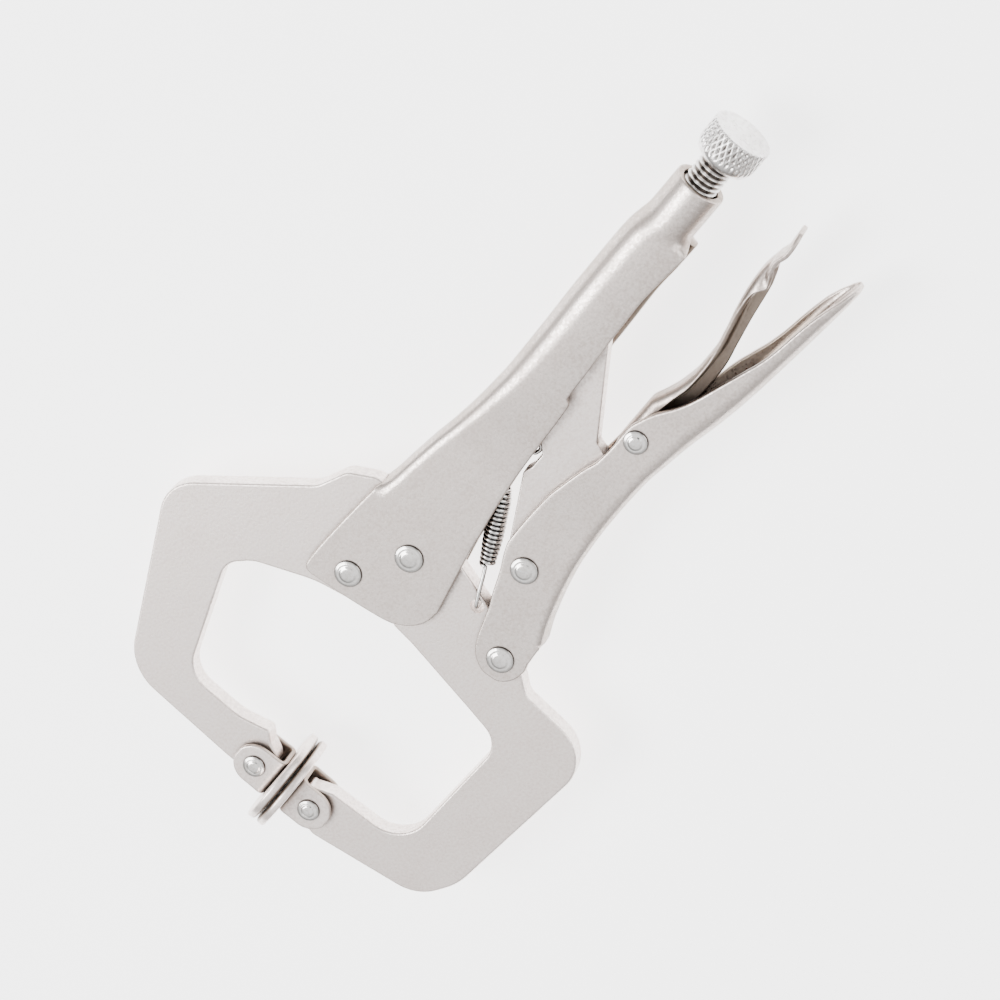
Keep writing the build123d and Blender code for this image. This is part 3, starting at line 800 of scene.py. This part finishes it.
def screw_knob():
    """Bored underside, swell, knurled band, rounded rim and domed face, turned round the screw."""
    x0, x1 = knob_low[0], knob_high[0]
    bore_r, bore_end = SCREW_R + 0.05, x0 + 2.6
    under = [(0, bore_end), (bore_r, bore_end), (bore_r, x0 + 0.1), (3.4, x0), (3.8, x0 + 0.1)]
    curve = np.radians(np.linspace(8, 90, 12))
    under += [(3.9 + (KNOB_R - 3.92) * np.sin(c), x0 + 0.1 + 2.5 * (1 - np.cos(c))) for c in curve]
    band = [(KNOB_R, v) for v in np.linspace(x0 + 2.75, x1 - ROUNDING, 22)]
    shoulder = np.radians(np.linspace(15, 90, 6))
    face_r, dome = KNOB_R - ROUNDING, 0.18
    rim = [(face_r + ROUNDING * np.cos(s), x1 - ROUNDING + 0.32 * np.sin(s)) for s in shoulder]
    face = [(face_r - k, x1 - dome + dome * (k / face_r) ** 0.7) for k in np.linspace(0.3, 4.5, 9)]

    def groove(r, h):
        """Painted shade where the knurl is deep, on the band only."""
        return np.clip((KNOB_R - 0.1 - r) / 0.3, 0, 1) * 0.6 * (h > x0 + 2.3) * (h < x1 - ROUNDING)

    piece = turned("screw_knob_knurled", under + band + rim + face + [(0, x1)], (0, SCREW_Y, 0), "x", KNURLED,
                   480, mark=groove, radius=knurled)
    return mounted(piece, "screw_knob", "bright_steel", "screw_knob")


screw_knob()

# %% [markdown]
# ## Pads
# Each pad plate is a turned disc. Its rim is rounded a little behind and more towards the clamping face,
# which carries painted shade, so that a dark groove runs between the two closed pads.

# %% Pad plates


def pad_plate(node, body, face):
    """A turned disc; face is the side (+1 or -1 along Y) that clamps, with the wider rim and painted shade.
    """
    low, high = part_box(node)
    size = (np.array(high) - np.array(low)) / MM
    r, t = size[0] / 2, size[1] / 2
    a = np.radians(np.linspace(0, 90, 6))
    wide, narrow = 0.7, 0.35
    clamping_round = list(zip(r - wide + wide * np.sin(a), t - wide * (1 - np.cos(a))))
    plain = list(zip(r - narrow + narrow * np.sin(a), t - narrow * (1 - np.cos(a))))
    upper, lower = (clamping_round, plain) if face > 0 else (plain, clamping_round)
    rings = [(0, -t), (r * 0.5, -t)] + [(rr, -hh) for rr, hh in lower] + upper[::-1] + [(r * 0.5, t), (0, t)]
    # painted shade on the clamping side's rim, the dark groove between the closed pads
    piece = turned(node + "_turned", rings, pin(node), "y", SATIN, 120,
                   mark=lambda rr, hh: np.clip((face * hh - t + 0.5) / 0.2, 0, 1))
    return mounted(piece, body, "satin_nickel", node)


pad_plate("fixed_pad_disc", "fixed_pad", -1)
pad_plate("moving_pad_disc", "moving_pad", 1)

# %% [markdown]
# ## Pad forks
# The fork is a strip bent to a U: an ear, the base on the pad plate, the other ear. Along the strip the half
# width follows a circle round the rivet at the ears' tops and opens a little towards the base.

# %% Pad forks
EAR_R = 3.8
FORK_SHEET = 0.9
FORK_BEND = 1.4        # radius outside the bends, mm


def pad_fork(node, disc, rivet_node, body):
    """down is the height over the pad plate along the strip, out is the strip's place across the jaw."""
    low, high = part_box(node)
    half = (high[2] - low[2]) / 2 / MM
    pin_at, disc_at = pin(rivet_node), pin(disc)
    disc_half = (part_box(disc)[1][1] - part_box(disc)[0][1]) / 2 / MM
    way = np.sign(pin_at[1] - disc_at[1])
    reach = abs(pin_at[1] - disc_at[1]) - disc_half
    top = reach + EAR_R - 0.12
    ear = top - (top - FORK_BEND) * (1 - np.cos(np.linspace(0, np.pi / 2, 26)))
    a = np.radians(np.linspace(0, 90, 9))[1:]
    down = np.concatenate([ear, FORK_BEND * (1 - np.sin(a))])
    out = np.concatenate([np.full(len(ear), half), half - FORK_BEND + FORK_BEND * np.cos(a)])
    floor = np.linspace(half - FORK_BEND, 0, 5)[1:]
    down = np.concatenate([down, 0 * floor])
    out = np.concatenate([out, floor])
    down, out = np.concatenate([down, down[::-1][1:]]), np.concatenate([out, -out[::-1][1:]])
    above = np.clip(down - reach, 0, EAR_R)
    width = np.where(down > reach, np.sqrt(EAR_R ** 2 - above ** 2), EAR_R)
    width = width + 0.2 * np.clip((reach - down) / reach, 0, 1) ** 3
    u = np.linspace(-1, 1, 25)[:, None]
    x = pin_at[0] + u * width[None]
    y = pin_at[1] + way * (down - reach)[None] + 0 * x
    z = out[None] + 0 * x
    grid = np.stack([x, y, z], -1)
    if way > 0:
        grid = grid[::-1]
    points, quads, inside = thick_sheet(grid, FORK_SHEET, edge=0.3)
    piece = new_piece(node + "_bent", points, quads, SATIN, {"inside": inside})
    return mounted(piece, body, "satin_nickel", node)


pad_fork("fixed_pad_yoke", "fixed_pad_disc", "fixed_pad_rivet", "fixed_pad")
pad_fork("moving_pad_yoke", "moving_pad_disc", "moving_pad_rivet", "moving_pad")

# %% [markdown]
# ## Return spring
# A tension spring is a helix, here a little barrel-shaped, with a hooked arm at each end. The wire's
# centre line is one path: down the first arm, round the coils, out along the second arm. A circle is
# carried along it, kept upright by carrying its frame from point to point without twist.

# %% Return spring
WIRE_R = 0.37
COIL_R = 1.1           # at both ends of the coil
COIL_SWELL = 0.35      # how much wider the middle is
COILS = 17


def wire_tube(name, path, r, material, hidden, sides=10):
    """A round wire along a path: ring k lies in the plane square to the path, with its frame carried on.

    hidden(points) gives the painted shade mask of the finished points.
    """
    p = np.asarray(path, float)
    t = unit(np.gradient(p, axis=0))
    ref = np.zeros_like(p)
    ref[0] = unit(np.cross(t[0], (0.3, 0.2, 1.0)))
    for k in range(1, len(p)):
        v = ref[k - 1] - t[k] * np.dot(ref[k - 1], t[k])
        ref[k] = v / np.linalg.norm(v)
    other = np.cross(t, ref)
    a = np.linspace(0, 2 * np.pi, sides, endpoint=False)
    turn = a[None, :, None]
    rings = p[:, None] + r * (np.cos(turn) * ref[:, None] + np.sin(turn) * other[:, None])
    points = np.concatenate([rings.reshape(-1, 3), p[[0, -1]]])
    quads = grid_quads(len(p), sides, close_v=True)[:, ::-1]
    k = np.arange(sides)
    last = (len(p) - 1) * sides
    n = len(points)
    fans = np.concatenate([np.stack([k, (k + 1) % sides, np.full(sides, n - 2)], 1)[:, ::-1],
                           np.stack([last + k, last + (k + 1) % sides, np.full(sides, n - 1)], 1)[:, ::-1]])
    return new_piece(name, points, quads[:, ::-1], material, {"inside": hidden(points)}, fans[:, ::-1])


def coil_radius(s):
    """Radius of the wire's centre line at the share s of the coil's length."""
    return COIL_R + COIL_SWELL * smoothstep(0, 0.4, s) * (1 - smoothstep(0.8, 1, s))


def return_spring():
    """The coil is axis point + coil_radius * (z cos turn + across sin turn), with an arm at each end."""
    start, end = np.array([7.1, -10.9, 0]), np.array([20.8, -4.6, 0])
    axis = unit(end - start)
    across = np.array([-axis[1], axis[0], 0])
    turn = np.linspace(0, 2 * np.pi * COILS, 36 * COILS)
    s = np.linspace(0, 1, len(turn))[:, None]
    circle = np.cos(turn)[:, None] * np.array([0, 0, 1.0]) + np.sin(turn)[:, None] * across
    coil = start + (end - start) * s + coil_radius(s) * circle
    near = [(0.35, -14.35, -2.1), (0.2, -14.35, 0.5), (0.35, -14.2, 2.05), (0.9, -13.9, 2.4),
            (3.2, -12.8, 2.3), (5.6, -11.7, 1.7)]
    far = [(22.4, -4.2, 0.8), (26.0, -4.0, 0.3), (29.4, -4.2, 0.0), (30.0, -4.85, 0.0), (30.9, -5.05, 0.0),
           (31.6, -4.7, 0.0), (31.8, -4.0, 0.0)]
    near = path_through(near + [tuple(coil[0])], np.linspace(0, 1, 60))[:-1]
    far = path_through([tuple(coil[-1])] + far, np.linspace(0, 1, 60))[1:]

    def hidden(points):
        """Painted shade: 1 within the coil's mean radius, the coil's hollow, 0 outside it and on both arms.
        """
        along = (points - start) @ axis
        away = np.linalg.norm(points - start - along[:, None] * axis, axis=1)
        share = along / np.linalg.norm(end - start)
        radius = coil_radius(share)
        on_coil = (share > 0) & (share < 1)
        return on_coil * (1 - smoothstep(radius + 0.12, radius + 0.36, away))

    piece = wire_tube("return_spring_wire", np.concatenate([near, coil, far]), WIRE_R, WIRE, hidden)
    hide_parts("return_spring")
    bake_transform(piece)
    return piece


return_spring()

# %% [markdown]
# ## CAD pieces that keep their shape
# The two jaws and the toggle link are plates with eased edges, exactly as the CAD has them.
# They only need the plater's finish.

# %% Finish the plates
for node in ("fixed_jaw", "moving_jaw", "toggle_link"):
    plate = frame["nodes"][node]
    plate.data.materials.clear()
    plate.data.materials.append(SATIN)

# %% [markdown]
# ## Floor, light and camera
# The tool lies on a pale, softly glowing table under a large tent of light, as small parts are shown. The
# tent is bright overhead and dim at the horizon, which gives the bends their shading, and has a dark gap
# where the camera looks in, which the rivets mirror. The camera stands well back with a long lens,
# leaning 30 degrees from overhead, so the shape is hardly distorted.

# %% Floor and light
TILT, LEAN, TURN = np.radians(30.0), np.radians(5.0), np.radians(49.3)
AWAY = (np.sin(TILT) * np.cos(LEAN), np.sin(TILT) * np.sin(LEAN), np.cos(TILT))


def stage_material(name, colour, roughness, glow):
    """A plain matt surface; glow lifts the shadows as a lit table top does."""
    m = bpy.data.materials.new(name)
    m.use_nodes = True
    m.node_tree.nodes["Principled BSDF"].inputs["Base Color"].default_value = (*colour, 1)
    m.node_tree.nodes["Principled BSDF"].inputs["Roughness"].default_value = roughness
    m.node_tree.nodes["Principled BSDF"].inputs["Emission Color"].default_value = (1, 1, 1, 1)
    m.node_tree.nodes["Principled BSDF"].inputs["Emission Strength"].default_value = glow
    return m


TABLE_HALF = 1.5       # from the middle to each side, m
TABLE_GLOW = 2.6


def table():
    """A flat square under the tool."""
    mesh = bpy.data.meshes.new("table")
    h = TABLE_HALF
    mesh.from_pydata([(-h, -h, 0), (h, -h, 0), (h, h, 0), (-h, h, 0)], [], [(0, 1, 2, 3)])
    mesh.materials.append(stage_material("pale table", (0.97, 0.97, 0.97), 0.8, TABLE_GLOW))
    top = bpy.data.objects.new("table", mesh)
    bpy.context.scene.collection.objects.link(top)


def soft_box(name, place, size, power, colour=(1, 1, 1)):
    """A square area light that looks at the middle of the tool."""
    data = bpy.data.lights.new(name, "AREA")
    data.size, data.energy, data.color = size, power, colour
    lamp = bpy.data.objects.new(name, data)
    way = np.array(place, float)
    z = unit(way)
    x = unit(np.cross((0.1, 1.0, 0.2), z))
    y = np.cross(z, x)
    lamp.matrix_world = Matrix([[x[0], y[0], z[0], place[0]], [x[1], y[1], z[1], place[1]],
                                [x[2], y[2], z[2], place[2]], [0, 0, 0, 1]])
    bpy.context.scene.collection.objects.link(lamp)


def world():
    """A tent of light, brightest overhead, dim at the horizon, with a dark gap where the camera looks in."""
    w = bpy.data.worlds.new("studio tent")
    w.use_nodes = True
    tree = w.node_tree
    way = tree.nodes.new("ShaderNodeTexCoord")
    parts = tree.nodes.new("ShaderNodeSeparateXYZ")
    tree.links.new(way.outputs["Generated"], parts.inputs["Vector"])
    height = ranged(tree, (parts, "Z"), 0.0, 1.0)
    tent = mixed_colour(tree, (height, "Result"), (0.1, 0.095, 0.09, 1), (1.75, 1.75, 1.75, 1))
    facing = tree.nodes.new("ShaderNodeVectorMath")
    facing.operation = "DOT_PRODUCT"
    tree.links.new(way.outputs["Generated"], facing.inputs[0])
    facing.inputs[1].default_value = AWAY
    gap = ranged(tree, (facing, "Value"), 0.0, 1.0)
    gap.inputs["From Min"].default_value = np.cos(np.radians(13))
    gap.inputs["From Max"].default_value = np.cos(np.radians(9))
    whole = mixed_colour(tree, (gap, "Result"), (tent, 2), (0.03, 0.03, 0.03, 1))
    back = tree.nodes["Background"]
    tree.links.new(whole.outputs[2], back.inputs["Color"])
    back.inputs["Strength"].default_value = 1.0
    bpy.context.scene.world = w


table()
world()
soft_box("key", (-0.35, 0.45, 0.7), 0.5, 9.0)
soft_box("fill", (0.6, -0.4, 0.5), 0.6, 4.0)

# %% Camera
DISTANCE = 600.0           # mm
AIM = (15.6, 10.1)         # the view's middle, right of and above the main pivot, mm
FRAME_WIDTH = 171.0        # width seen at the tool, mm
SENSOR = 36.0              # mm


def camera():
    """A lens of SENSOR * DISTANCE / FRAME_WIDTH shows FRAME_WIDTH across the view."""
    away = np.array(AWAY)
    flat = unit(np.array([1.0, 0, 0]) - away[0] * away)
    side = np.cross(away, flat)
    right = np.cos(TURN) * flat - np.sin(TURN) * side
    up = np.sin(TURN) * flat + np.cos(TURN) * side
    aim = np.array([0, 0, 3.4]) + right * AIM[0] + up * AIM[1]
    eye = to_frame(aim + away * DISTANCE)
    data = bpy.data.cameras.new("camera")
    data.sensor_width = SENSOR
    data.lens = SENSOR * DISTANCE / FRAME_WIDTH
    data.clip_start = 0.01
    cam = bpy.data.objects.new("camera", data)
    cam.matrix_world = Matrix([[right[0], up[0], away[0], eye[0]], [right[1], up[1], away[1], eye[1]],
                               [right[2], up[2], away[2], eye[2]], [0, 0, 0, 1]])
    bpy.context.scene.collection.objects.link(cam)
    bpy.context.scene.camera = cam


camera()
